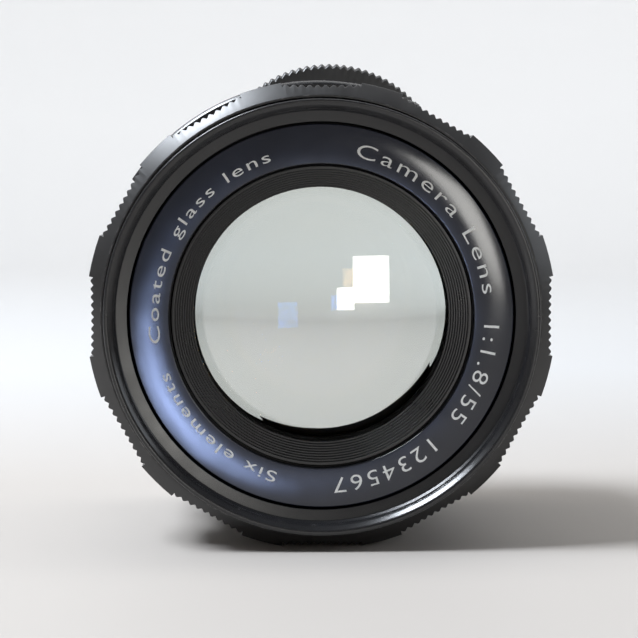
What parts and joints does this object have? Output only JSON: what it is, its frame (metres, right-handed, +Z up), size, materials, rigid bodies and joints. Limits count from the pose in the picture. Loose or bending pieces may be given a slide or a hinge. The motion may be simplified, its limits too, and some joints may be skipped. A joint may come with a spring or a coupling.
{
  "type": "prime camera lens",
  "caption": "Standard prime lens for film cameras: knurled focus ring, aperture ring with an ear, coated glass and a screw mount at the rear.",
  "frame": {"origin": "bottom centre of the bounding box, on the surface the lens lies on", "axes": "+Z up, +Y along the optical axis from the front rim to the rear mount, +X to the right seen from the front"},
  "size_m": [0.0548, 0.0438, 0.0586],
  "materials": {
    "black_metal": "satin black anodised",
    "inner_metal": "matt black anodised",
    "brass": "machined",
    "steel": "polished",
    "blade_steel": "blued, matt",
    "white_fill": "matt paint in engraving",
    "orange_fill": "matt paint in engraving",
    "coated_glass": "polished, with a thin amber and purple coating"
  },
  "bodies": {
    "barrel": {"guide_barrel": "inner_metal", "guide_key_left": "steel", "guide_key_right": "steel", "base_barrel": "inner_metal", "depth_scale_ring": "black_metal", "rear_collar": "black_metal", "mount_flange": "steel", "rear_baffle": "black_metal", "aperture_detent_ball": "steel", "mount_screw_1": "steel", "mount_screw_2": "steel", "mount_screw_3": "steel"},
    "focus_group": {"focus_ring": "black_metal", "helicoid_ring": "brass", "focus_screw_1": "steel", "focus_screw_2": "steel", "focus_screw_3": "steel"},
    "optics": {"filter_ring": "black_metal", "name_ring": "black_metal", "front_baffle": "black_metal", "front_cell": "inner_metal", "front_spacer": "inner_metal", "front_element": "coated_glass", "second_element": "coated_glass", "third_element": "coated_glass", "fourth_element": "coated_glass", "fifth_element": "coated_glass", "rear_element": "coated_glass", "iris_housing": "inner_metal", "rear_cell": "black_metal", "rear_spacer": "inner_metal", "rear_retainer": "black_metal", "inner_barrel": "inner_metal"},
    "aperture_control": {"aperture_ring": "black_metal"},
    "cam_ring": {"iris_cam_ring": "brass"},
    "switch": {"mode_switch": "black_metal"},
    "pin": {"stop_down_pin": "steel"},
    "lever": {"stop_down_lever": "steel"},
    "blade_1": {"iris_blade_1": "blade_steel"},
    "blade_2": {"iris_blade_2": "blade_steel"},
    "blade_3": {"iris_blade_3": "blade_steel"},
    "blade_4": {"iris_blade_4": "blade_steel"},
    "blade_5": {"iris_blade_5": "blade_steel"},
    "blade_6": {"iris_blade_6": "blade_steel"}
  },
  "joints": [
    {"name": "focus_turn", "type": "hinge", "parent": "barrel", "child": "focus_group", "pos_m": [0, 0, 0.02739], "axis": [0, 1, 0], "range_deg": [0, 230]},
    {"name": "optics_slide", "type": "slide", "parent": "barrel", "child": "optics", "axis": [0, -1, 0], "range_m": [0, 0.009]},
    {"name": "aperture_turn", "type": "hinge", "parent": "barrel", "child": "aperture_control", "pos_m": [0, 0, 0.02739], "axis": [0, 1, 0], "range_deg": [0, 60]},
    {"name": "cam_ring_turn", "type": "hinge", "parent": "optics", "child": "cam_ring", "pos_m": [0, 0, 0.02739], "axis": [0, 1, 0], "range_deg": [0, 40]},
    {"name": "switch_turn", "type": "hinge", "parent": "barrel", "child": "switch", "pos_m": [0, 0, 0.02739], "axis": [0, 1, 0], "range_deg": [0, 10]},
    {"name": "pin_press", "type": "slide", "parent": "barrel", "child": "pin", "axis": [0, -1, 0], "range_m": [0, 0.0018], "stiffness_N_per_m": 150, "springref_m": -0.002},
    {"name": "lever_tilt", "type": "hinge", "parent": "barrel", "child": "lever", "pos_m": [0.01167, 0.01365, 0.01551], "axis": [-0.7009, 0, 0.7133], "range_deg": [0, 12.4]},
    {"name": "blade_1_turn", "type": "hinge", "parent": "optics", "child": "blade_1", "pos_m": [0, 0.0026, 0.04629], "axis": [0, 1, 0], "range_deg": [0, 31]},
    {"name": "blade_2_turn", "type": "hinge", "parent": "optics", "child": "blade_2", "pos_m": [0.01637, 0.0026, 0.03684], "axis": [0, 1, 0], "range_deg": [0, 31]},
    {"name": "blade_3_turn", "type": "hinge", "parent": "optics", "child": "blade_3", "pos_m": [0.01637, 0.0026, 0.01794], "axis": [0, 1, 0], "range_deg": [0, 31]},
    {"name": "blade_4_turn", "type": "hinge", "parent": "optics", "child": "blade_4", "pos_m": [0, 0.0026, 0.00849], "axis": [0, 1, 0], "range_deg": [0, 31]},
    {"name": "blade_5_turn", "type": "hinge", "parent": "optics", "child": "blade_5", "pos_m": [-0.01637, 0.0026, 0.01794], "axis": [0, 1, 0], "range_deg": [0, 31]},
    {"name": "blade_6_turn", "type": "hinge", "parent": "optics", "child": "blade_6", "pos_m": [-0.01637, 0.0026, 0.03684], "axis": [0, 1, 0], "range_deg": [0, 31]}
  ],
  "couplings": [
    {"joint": "lever_tilt", "follows": "pin_press", "rad_per_m": 118},
    {"joint": "optics_slide", "follows": "focus_turn", "m_per_rad": 0.00224},
    {"joint": "cam_ring_turn", "follows": "aperture_turn", "ratio": 0.66},
    {"joint": "blade_1_turn", "follows": "aperture_turn", "ratio": 0.51},
    {"joint": "blade_2_turn", "follows": "aperture_turn", "ratio": 0.51},
    {"joint": "blade_3_turn", "follows": "aperture_turn", "ratio": 0.51},
    {"joint": "blade_4_turn", "follows": "aperture_turn", "ratio": 0.51},
    {"joint": "blade_5_turn", "follows": "aperture_turn", "ratio": 0.51},
    {"joint": "blade_6_turn", "follows": "aperture_turn", "ratio": 0.51}
  ]
}
